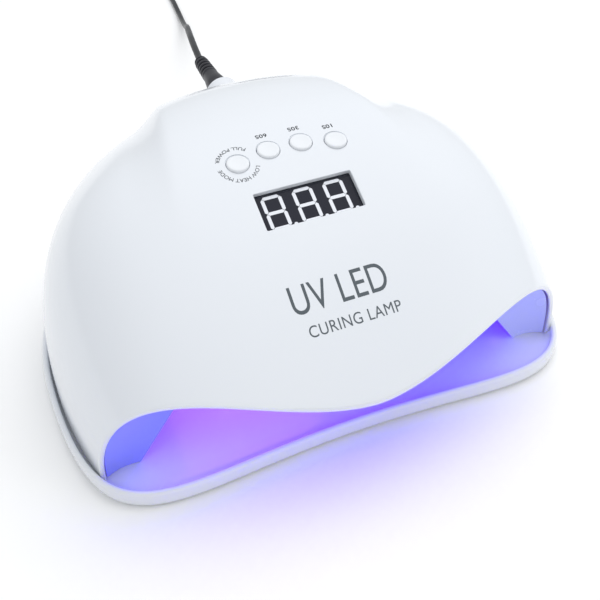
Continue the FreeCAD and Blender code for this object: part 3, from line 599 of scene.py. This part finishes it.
# ---------------------------------------------------------------- LED lenses and their collars
def islands(node):
    """Vertex positions of each separate solid of a CAD node, in millimetres."""
    work = bmesh.new()
    work.from_mesh(NODES[node].data)
    bmesh.ops.remove_doubles(work, verts=work.verts, dist=1e-7)
    seen, found = set(), []
    for vertex in work.verts:
        if vertex.index in seen:
            continue
        seen.add(vertex.index)
        stack, members = [vertex], []
        while stack:
            here = stack.pop()
            members.append(tuple(here.co / MM))
            for edge in here.link_edges:
                other = edge.other_vert(here)
                if other.index not in seen:
                    seen.add(other.index)
                    stack.append(other)
        found.append(np.array(members))
    work.free()
    return found


CAVITY_MIDDLE = (0.0, 0.0, 20.0)


def lens_places(node):
    """Place of each lens: local Z along its axis into the cavity, with its length."""
    places = []
    for members in islands(node):
        middle = members.mean(axis=0)
        axis = np.linalg.eigh(np.cov((members - middle).T))[1][:, -1]
        towards = np.array(CAVITY_MIDDLE) - middle
        if axis @ towards < 0:
            axis = -axis
        half = np.abs((members - middle) @ axis).max()
        turn = Vector((0, 0, 1)).rotation_difference(Vector(axis)).to_matrix().to_4x4()
        places.append((Matrix.Translation(Vector(middle - axis * half)) @ turn, 2 * half))
    return places


LENS_RADIUS, DOME_HIGH, DOME_STEPS = 2.6, 2.2, 7
LED_WALLS = ("left", "rear_left", "rear", "rear_right", "right", "roof")
LENS_PROUD, ROOF_LENS_PROUD = 2.4, 1.4


def lens_profile(long):
    profile = [(0, 0), (LENS_RADIUS - 0.2, 0), (LENS_RADIUS, 0.2)]
    for step in range(DOME_STEPS):
        turn = math.pi / 2 * step / DOME_STEPS
        profile.append((LENS_RADIUS * math.cos(turn), long - DOME_HIGH + DOME_HIGH * math.sin(turn)))
    return profile + [(0, long)]


def collar_profile(level):
    """Rounded collar of the lining round a lens, at the level of the lining's face."""
    return [(2.95, level - 0.6), (2.95, level + 0.35), (3.15, level + 0.6), (3.6, level + 0.68),
            (4.2, level + 0.42), (4.8, level - 0.1), (4.8, level - 0.6), (2.95, level - 0.6)]


def make_leds():
    for wall in LED_WALLS:
        node = "led_lenses_" + wall
        places = lens_places(node)
        proud = ROOF_LENS_PROUD if wall == "roof" else LENS_PROUD
        lenses = placed([(*turned_points(lens_profile(long), 28), place) for place, long in places])
        finish_piece(add_piece("uv_lenses_" + wall, *lenses, "lens_uv", 60.0), "housing", "uv_lens", node)
        collars = placed([(*turned_points(collar_profile(long - proud), 36), place)
                          for place, long in places])
        # the collars take the lining's painted light: a violet colour and emission standing in for the LEDs'
        # light
        finish_piece(add_piece("led_collars_" + wall, *collars, "liner_glow"), "housing", "liner_white")


make_leds()


# ---------------------------------------------------------------- base tray
TRAY_HALF, TRAY_FRONT_Y, TRAY_REAR_Y, TRAY_BUMP, TRAY_BUMP_WIDTH = 115.0, -106.5, 99.5, 25.0, 150.0
TRAY_TAPER, TRAY_CORNER_POWER = 0.15, 5.6
TRAY_BOTTOM, TRAY_FLOOR, TRAY_RIM, TRAY_WALL, CREST_HIGH = 1.0, 4.0, 9.5, 2.6, 1.6
# inset and height above the tray's bottom, from under the tray up its outer wall
TRAY_FOOT = [(40.0, 0.0), (14.0, 0.0), (2.6, 0.0), (1.5, 0.08), (0.8, 0.4), (0.35, 1.1), (0.12, 2.4),
             (0.02, 4.2)]
TRAY_FLOOR_INSETS = (18.0, 26.0, 44.0, 66.0)
FILLET, FRONT_FILLET, FRONT_FILLET_Y, FRONT_FILLET_OVER = 2.2, 10.4, -64.0, 26.0
CREST_STEPS, FILLET_STEPS = 12, 10
MAGNET_RADIUS, MAGNET_DEEP = 4.05, 1.6
MAGNETS = [(sx * 99.0, y) for sx in (-1, 1) for y in (-38.0, 22.0)]


def tray_outline(inset, count=420):
    turn = np.linspace(0, 2 * math.pi, count, endpoint=False)
    across, along = np.cos(turn), np.sin(turn)
    power = np.where(along > 0, PLAN_POWER, TRAY_CORNER_POWER)
    norm = (np.abs(across) ** power + np.abs(along) ** power) ** (1 / power)
    end = np.where(along > 0, TRAY_REAR_Y, -TRAY_FRONT_Y + 2 * WALL_CENTRE_Y)
    y = WALL_CENTRE_Y + (end - inset - WALL_CENTRE_Y) * along / norm
    forward = np.clip(WALL_CENTRE_Y - y, 0, None) / 100.0
    x = (TRAY_HALF - inset) * across / norm * (1 - TRAY_TAPER * forward ** 2)
    bump = TRAY_BUMP * np.exp(-(x / TRAY_BUMP_WIDTH) ** 2) * np.clip(-along / norm, 0, 1) ** 2
    return np.stack([x, y + np.where(along < 0, bump, 0)], axis=-1)


def tray_ring(inset, height):
    """Ring of points at one inset, or at an inset that varies along the outline."""
    if np.isscalar(inset):
        flat = tray_outline(inset)
    else:
        low, high = tray_outline(0.0), tray_outline(10.0)
        flat = low + (high - low) * (inset / 10.0)[:, None]
    return np.column_stack([flat, np.full(len(flat), height)])


def make_tray():
    outline = tray_outline(0.0)
    fillet = FILLET + FRONT_FILLET * smooth((FRONT_FILLET_Y - outline[:, 1]) / FRONT_FILLET_OVER)
    crest = TRAY_RIM - CREST_HIGH
    rings = [tray_ring(inset, TRAY_BOTTOM + height) for inset, height in TRAY_FOOT]
    rings.append(tray_ring(0.0, crest))
    for step in range(1, CREST_STEPS + 1):
        turn = math.pi * step / CREST_STEPS
        rings.append(tray_ring(TRAY_WALL / 2 * (1 - math.cos(turn)), crest + CREST_HIGH * math.sin(turn)))
    for step in range(1, FILLET_STEPS + 1):
        turn = math.pi / 2 * step / FILLET_STEPS
        height = TRAY_FLOOR + (crest - TRAY_FLOOR) * (1 - math.sin(turn))
        rings.append(tray_ring(TRAY_WALL + fillet * (1 - math.cos(turn)), height))
    rings += [tray_ring(inset, TRAY_FLOOR) for inset in TRAY_FLOOR_INSETS]
    count = len(outline)
    points = np.concatenate(rings)
    faces = ring_faces(len(rings), count, True)
    faces.append(tuple(range(count))[::-1])
    faces.append(tuple(range((len(rings) - 1) * count, len(rings) * count)))
    tray = add_piece("base_tray_shell", points, faces, "tray_white", 30.0)
    pocket = turned_points([(0, 0), (MAGNET_RADIUS, 0), (MAGNET_RADIUS, 9), (0, 9)], 48)
    places = [Matrix.Translation(Vector((x, y, TRAY_FLOOR - MAGNET_DEEP))) for x, y in MAGNETS]
    cut_holes(tray, *placed([(*pocket, place) for place in places]))
    finish_piece(tray, "base", "tray_white", "base_tray")


make_tray()


# ---------------------------------------------------------------- buttons and display
KEY_RADIUS, KEY_TOP, KEY_DISH, KEY_DISH_SHARE, KEY_EDGE, KEY_STEPS = 4.6, 0.7, 0.32, 0.80, 0.75, 5
KEY_STEM, KEY_STEM_LOW, FLANGE_RADIUS, FLANGE_LOW, FLANGE_HIGH = 1.6, -9.2, 5.8, -4.6, -3.6


def key_profile():
    """A stem, a flange that keeps the key in, and a cap with a shallow dish and a rounded edge."""
    profile = [(0, KEY_STEM_LOW), (KEY_STEM, KEY_STEM_LOW), (KEY_STEM, FLANGE_LOW),
               (FLANGE_RADIUS, FLANGE_LOW), (FLANGE_RADIUS, FLANGE_HIGH), (KEY_RADIUS, FLANGE_HIGH)]
    for step in range(KEY_STEPS, 0, -1):
        turn = math.pi / 2 * step / KEY_STEPS
        profile.append((KEY_RADIUS - KEY_EDGE + KEY_EDGE * math.sin(turn),
                        KEY_TOP - KEY_EDGE + KEY_EDGE * math.cos(turn)))
    for step in range(KEY_STEPS, -1, -1):
        part = step / KEY_STEPS
        profile.append((KEY_RADIUS * KEY_DISH_SHARE * part, KEY_TOP - KEY_DISH + KEY_DISH * part ** 2))
    return profile


def make_buttons():
    for key, x in BUTTONS.items():
        points, faces = placed([(*turned_points(key_profile(), 72), button_place(x))])
        piece = add_piece("button_cap_" + key, points, faces, "button_white", 40.0)
        finish_piece(piece, "key_" + key, "button_white", "button_" + key)


make_buttons()

DIGIT_HIGH, DIGIT_WIDE, DIGIT_PITCH, DIGIT_SHIFT_X, DIGIT_SHIFT_Y = 15.2, 8.6, 13.0, -0.8, -0.5
SEGMENT, SEGMENT_GAP, SEGMENT_THICK, DOT_RADIUS, DOT_GAP = 1.4, 0.24, 0.15, 0.8, 1.5


def segment_bar(x, y, long, upright):
    """Six-sided display bar with pointed ends, as (points, faces) lying flat at height 0."""
    half, thick = long / 2, SEGMENT / 2
    outline = [(-half, 0), (-half + thick, thick), (half - thick, thick), (half, 0),
               (half - thick, -thick), (-half + thick, -thick)]
    if upright:
        outline = [(b, a) for a, b in outline][::-1]
    return stacked([([(x + a, y + b) for a, b in outline[::-1]], h) for h in (0.0, SEGMENT_THICK)])


def make_segments():
    place = display_place() @ Matrix.Translation(Vector((0, DIGIT_SHIFT_Y, -MODULE_SET)))
    tall = (DIGIT_HIGH - SEGMENT) / 2
    wide = DIGIT_WIDE - SEGMENT
    dot = turned_points([(0, 0), (DOT_RADIUS, 0), (DOT_RADIUS, SEGMENT_THICK), (0, SEGMENT_THICK)], 24)
    parts = []
    for digit in (-1, 0, 1):
        middle = digit * DIGIT_PITCH + DIGIT_SHIFT_X
        for level in (-1, 0, 1):
            parts.append((*segment_bar(middle, level * tall, wide - SEGMENT_GAP, False), place))
        for across in (-1, 1):
            for level in (-1, 1):
                bar = segment_bar(middle + across * wide / 2, level * tall / 2, tall - SEGMENT_GAP, True)
                parts.append((*bar, place))
        spot = Vector((middle + DIGIT_WIDE / 2 + DOT_GAP, -tall, 0))
        parts.append((*dot, place @ Matrix.Translation(spot)))
    piece = add_piece("display_digits", *placed(parts), "segment_white")
    finish_piece(piece, "housing", "segment_white", "display_segments")


make_segments()


# ---------------------------------------------------------------- printed labels
FONT_SIZE_PER_CAPITAL = 1.37
PRINT_THICK, PRINT_PROUD = 0.12, 0.035
KEY_LABEL_HIGH, KEY_LABEL_AHEAD, KEY_LABEL_BOLD = 2.1, 8.0, 0.04
RING_LABEL_HIGH, RING_LABEL_RADIUS = 1.7, 8.0
PRINT_STRETCH = 1.1
# name, words, height, width factor, letter spacing, centre
PRINTED_LINES = [("print_uv_led", "UV LED", 8.9, 0.98, 1.02, (-2.2, -64.6)),
                 ("print_curing_lamp", "CURING LAMP", 3.4, 1.2, 1.06, (0.2, -75.2))]


def flat_text(words, high, wide_by=1.0, spacing=1.0, bold=0.0):
    """Lettering as a flat mesh centred on the origin, in millimetres."""
    curve = bpy.data.curves.new("lettering", "FONT")
    curve.body = words
    curve.size = high * MM * FONT_SIZE_PER_CAPITAL
    curve.align_x = "CENTER"
    curve.space_character = spacing
    curve.resolution_u = 6
    curve.offset = bold * MM
    holder = bpy.data.objects.new("lettering", curve)
    scene.collection.objects.link(holder)
    shown = bpy.context.evaluated_depsgraph_get()
    data = bpy.data.meshes.new_from_object(holder.evaluated_get(shown))
    work = bmesh.new()
    work.from_mesh(data)
    bmesh.ops.scale(work, vec=(wide_by / MM, 1 / MM, 1 / MM), verts=work.verts)
    bpy.data.objects.remove(holder)
    bpy.data.meshes.remove(data)
    for vertex in work.verts:
        vertex.co.y -= high / 2
    return work


def sliced(work, step):
    """Cuts flat lettering into small cells so that it can follow a curved skin."""
    xs = [v.co.x for v in work.verts]
    ys = [v.co.y for v in work.verts]
    for axis, values in (((1, 0, 0), xs), ((0, 1, 0), ys)):
        low, high = min(values), max(values)
        for k in range(1, int((high - low) / step) + 1):
            at = Vector(axis) * (low + k * step)
            everything = list(work.verts) + list(work.edges) + list(work.faces)
            bmesh.ops.bisect_plane(work, geom=everything, plane_co=at, plane_no=Vector(axis), dist=1e-5)
    return work


def print_label(name, work, move, material):
    """Lays flat lettering on the outer skin: move turns a flat x, y into a place on the housing's plan."""
    for vertex in work.verts:
        x, y = move(vertex.co.x, vertex.co.y)
        vertex.co = Vector((x, y, float(skin_top(x, y)) + PRINT_PROUD)) * MM
    bmesh.ops.triangulate(work, faces=work.faces)
    bmesh.ops.recalc_face_normals(work, faces=work.faces)
    if sum(face.normal.z for face in work.faces) < 0:
        bmesh.ops.reverse_faces(work, faces=work.faces)
    data = bpy.data.meshes.new(name)
    work.to_mesh(data)
    work.free()
    piece = bpy.data.objects.new(name, data)
    scene.collection.objects.link(piece)
    data.materials.append(MATERIALS[material])
    solid = piece.modifiers.new("ink", "SOLIDIFY")
    solid.thickness = PRINT_THICK * MM
    solid.offset = -1.0
    finish_piece(piece, "housing", None)


def straight(centre_x, centre_y, turned=False, stretch=1.0):
    sign = -1.0 if turned else 1.0
    return lambda x, y: (centre_x + sign * x, centre_y + sign * y * stretch)


def round_arc(centre_x, centre_y, radius, middle_angle, outward=True):
    """Bends lettering round a circle; outward letters have their tops away from the centre."""
    sign = 1.0 if outward else -1.0

    def move(x, y):
        angle = math.radians(middle_angle) - sign * x / radius
        reach = radius + sign * y
        return centre_x + reach * math.cos(angle), centre_y + reach * math.sin(angle)
    return move


def make_labels():
    for key, x in list(BUTTONS.items())[1:]:
        spot = button_place(x).to_translation()
        work = sliced(flat_text(key.upper(), KEY_LABEL_HIGH, 1.15, 1.05, KEY_LABEL_BOLD), 1.5)
        print_label("label_" + key, work, straight(spot.x, spot.y + KEY_LABEL_AHEAD, True), "print_dark")
    mode = button_place(BUTTONS["mode"]).to_translation()
    work = sliced(flat_text("FULL POWER", RING_LABEL_HIGH, 1.15), 1.2)
    move = round_arc(mode.x, mode.y, RING_LABEL_RADIUS, 104.0, False)
    print_label("label_full_power", work, move, "print_dark")
    work = sliced(flat_text("LOW HEAT MODE", RING_LABEL_HIGH, 1.1), 1.2)
    move = round_arc(mode.x, mode.y, RING_LABEL_RADIUS, -98.0)
    print_label("label_low_heat", work, move, "print_dark")
    for name, words, high, wide_by, spacing, centre in PRINTED_LINES:
        work = sliced(flat_text(words, high, wide_by, spacing), 1.6)
        print_label(name, work, straight(*centre, False, PRINT_STRETCH), "print_grey")


make_labels()


# ---------------------------------------------------------------- cord, plug and coil
CORD_RADIUS = 1.75
LEAD_ROUTE = [(2.5, 120, 74), (4.6, 138, 73.4), (9.5, 165, 68.5), (15.5, 192, 59), (22.5, 221, 46),
              (30, 252, 31), (37, 282, 17), (42.5, 310, 6.4), (46.5, 336, 2.0), (49, 362, 1.8),
              (50.6, 388, 1.8), (49.4, 416, 1.8), (50.1, 444.2, 1.8)]
TAIL_ROUTE = [(87.8, 483.4, 5.3), (97, 483.8, 6.6), (105, 485.2, 11.2), (113, 485.6, 13.4)]
COIL_CENTRE, COIL_POINTS = (75.4, 458.0), 24
COIL_COLUMNS, COIL_LAYERS = (25.4, 21.8, 18.2, 14.6), (1.8, 5.3)
COIL_TURNS = 2 * len(COIL_COLUMNS) - 0.75


def eased(turns, start, span):
    return float(smooth(np.array((turns - start) / span)))


def coil_radius(turns):
    """Columns from the outside in on the table, then from the inside out on top of them."""
    step = COIL_COLUMNS[0] - COIL_COLUMNS[1]
    inward = sum(eased(turns, k + 0.8, 0.2) for k in range(len(COIL_COLUMNS) - 1))
    outward = sum(eased(turns, len(COIL_COLUMNS) + k + 0.3, 0.25) for k in range(len(COIL_COLUMNS) - 1))
    return COIL_COLUMNS[0] - step * (inward - outward)


def coil_height(turns):
    rise = eased(turns, len(COIL_COLUMNS) - 1 + 0.55, 0.25)
    return COIL_LAYERS[0] + (COIL_LAYERS[1] - COIL_LAYERS[0]) * rise


def cord_route():
    """The lead down to the table, the coil's turns, and the tail to the adapter."""
    points = [Vector(p) for p in LEAD_ROUTE]
    shrink = math.cos(math.pi / COIL_POINTS)
    for k in range(int(COIL_TURNS * COIL_POINTS) + 1):
        turns = k / COIL_POINTS
        angle = math.pi - 2 * math.pi * turns
        reach = coil_radius(turns) / shrink
        x, y = COIL_CENTRE[0] + reach * math.cos(angle), COIL_CENTRE[1] + reach * math.sin(angle)
        points.append(Vector((x, y, coil_height(turns))))
    return points + [Vector(p) for p in TAIL_ROUTE]


def spline_line(points):
    """Points read from the NURBS spline whose control points are a route's, in metres."""
    curve = bpy.data.curves.new("cord_line", "CURVE")
    curve.dimensions = "3D"
    spline = curve.splines.new("NURBS")
    spline.points.add(len(points) - 1)
    for knot, point in zip(spline.points, points):
        knot.co = (*(point * MM), 1.0)
    spline.order_u = 3
    spline.use_endpoint_u = True
    spline.resolution_u = 6
    holder = bpy.data.objects.new("cord_line", curve)
    data = bpy.data.meshes.new_from_object(holder)
    line = [vertex.co.copy() for vertex in data.vertices]
    bpy.data.objects.remove(holder)
    bpy.data.curves.remove(curve)
    bpy.data.meshes.remove(data)
    return line


def tube_mesh(line, radius, sides=14):
    """A closed tube along a line, with a frame that is carried along it without twist."""
    points = []
    side = Vector((0, 0, 1))
    for index, here in enumerate(line):
        ahead = (line[min(index + 1, len(line) - 1)] - line[max(index - 1, 0)]).normalized()
        side = (side - ahead * side.dot(ahead)).normalized()
        other = ahead.cross(side)
        for k in range(sides):
            turn = 2 * math.pi * k / sides
            points.append(tuple(here + (side * math.cos(turn) + other * math.sin(turn)) * radius))
    faces = ring_faces(len(line), sides, True)
    faces.append(tuple(range(sides))[::-1])
    faces.append(tuple(range((len(line) - 1) * sides, len(line) * sides)))
    return points, faces


def make_cord():
    line = spline_line(cord_route())
    points, faces = tube_mesh([p / MM for p in line], CORD_RADIUS)
    cord = add_piece("power_cord", points, faces, "cord_black", 50.0)
    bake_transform(cord)
    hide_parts("cord_lead", "cord_coil", "cord_tail")
    length = sum((b - a).length for a, b in zip(line, line[1:]))
    print("cord length %.3f m" % length)
    return cord, line, round(length, 2)


PLUG_LONG, PLUG_RIBS, RIB_PITCH, RIB_FROM = 35.0, 5, 3.1, 18.0
RIB_RADIUS, RIB_TAPER, RIB_DEEP = 4.15, 0.11, 0.75


def plug_profile():
    """A grip, then ribs that get smaller towards the cord."""
    profile = [(0, 0.1), (4.9, 0.1), (5.2, 0.4), (5.2, 7.5), (5.1, 9.0), (4.75, 11.5), (4.3, 14.5),
               (4.05, 17.0)]
    for rib in range(PLUG_RIBS):
        foot = RIB_FROM + rib * RIB_PITCH
        crest = RIB_RADIUS - RIB_TAPER * rib
        groove = crest - RIB_DEEP
        profile += [(crest - 0.12, foot), (crest, foot + 0.25), (crest, foot + 1.6),
                    (crest - 0.12, foot + 1.85), (groove, foot + 2.0), (groove, foot + 2.95)]
    return profile + [(3.4, PLUG_LONG - 1.1), (3.3, PLUG_LONG - 0.4), (2.9, PLUG_LONG - 0.05),
                      (CORD_RADIUS, PLUG_LONG), (0, PLUG_LONG)]


def make_plug():
    place = towards_rear(INLET_X, PLUG_START_Y, INLET_Z)
    points, faces = placed([(*turned_points(plug_profile(), 48), place)])
    plug = add_piece("plug_moulding", points, faces, "plug_black", 32.0)
    return finish_piece(plug, "housing", "cord_black", "dc_plug_body")


plug = make_plug()
cord, cord_line, cord_length = make_cord()


# ---------------------------------------------------------------- CAD nodes that stay, with better finishes
# the inner liner takes the lining's painted light: a violet colour and emission standing in for the LEDs'
# light
STAYING = {
    "inner_liner": "liner_glow", "bottom_ring": "ring_white", "housing_magnets": "nickel",
    "tray_magnets": "nickel", "ring_screws": "screw_steel", "screw_posts": "ring_white",
    "display_module": "display_black", "display_board": "board_green", "control_board": "board_green",
    "tact_switches": "component_black", "board_components": "component_black", "inlet_bezel": "tray_white",
    "dc_jack": "component_black", "dc_plug_barrel": "nickel", "rubber_feet": "rubber_grey",
    "adapter_shell": "adapter_black", "adapter_cap": "adapter_black", "adapter_prongs": "brass",
    "adapter_relief": "plug_black", "coil_tie": "tie_black",
    "led_board_left": "board_white", "led_board_rear_left": "board_white", "led_board_rear": "board_white",
    "led_board_rear_right": "board_white", "led_board_right": "board_white", "led_board_roof": "board_white",
}


def dress_nodes():
    for node, material in STAYING.items():
        data = NODES[node].data
        data.materials.clear()
        data.materials.append(MATERIALS[material])


dress_nodes()


# ---------------------------------------------------------------- floor and light
WHITE, STUDIO_TINT, STUDIO_STRENGTH = (1.0, 1.0, 1.0), (0.96, 0.98, 1.0, 1.0), 0.62
# name: place, what it faces, side of its square, power
STUDIO_LIGHTS = {
    "key": ((0.5, 0.35, 1.3), (0, 0, 0), 1.4, 11.0),
    "left_fill": ((-0.75, -0.35, 1.15), (0, 0, 0.05), 1.0, 2.6),
    "front_fill": ((0.85, -0.6, 0.6), (0.05, -0.05, 0.03), 0.6, 1.5),
}
GLOW_PLACE, GLOW_TOWARDS = (-0.03, -0.01, 0.055), (-0.035, -0.01, 0.0)
GLOW_TINT, GLOW_POWER = (0.10, 0.03, 1.0), 0.24


def make_floor():
    bpy.ops.mesh.primitive_plane_add(size=8.0, location=(0, 0, 0))
    floor = bpy.context.object
    floor.name = "floor"
    material, nodes, links = new_material("floor_paper")
    shader = nodes["Principled BSDF"]
    tone = noise_node(nodes, links, 3.0)
    links.new(mix_node(nodes, links, tone.outputs["Fac"], (0.97, 0.97, 0.97), (0.965, 0.965, 0.97)),
              shader.inputs["Base Color"])
    shader.inputs["Roughness"].default_value = 0.9
    shader.inputs["Specular IOR Level"].default_value = 0.1
    floor.data.materials.append(material)


def area_light(name, place, towards, long, wide, energy, colour):
    data = bpy.data.lights.new(name, "AREA")
    data.shape = "RECTANGLE"
    data.size, data.size_y = long, wide
    data.energy = energy
    data.color = colour
    light = bpy.data.objects.new(name, data)
    scene.collection.objects.link(light)
    light.location = place
    light.rotation_mode = "QUATERNION"
    light.rotation_quaternion = (Vector(towards) - Vector(place)).to_track_quat("-Z", "Y")
    return light


def make_light():
    world = bpy.data.worlds.new("studio")
    scene.world = world
    world.use_nodes = True
    background = world.node_tree.nodes["Background"]
    background.inputs["Color"].default_value = STUDIO_TINT
    background.inputs["Strength"].default_value = STUDIO_STRENGTH
    for name, (place, towards, side, power) in STUDIO_LIGHTS.items():
        area_light(name, place, towards, side, side, power, WHITE).visible_glossy = False
    # stands for the light of the lamp's own LEDs
    area_light("cavity_glow", GLOW_PLACE, GLOW_TOWARDS, 0.09, 0.07, GLOW_POWER, GLOW_TINT)
    scene.view_settings.view_transform = "Standard"


make_floor()
make_light()
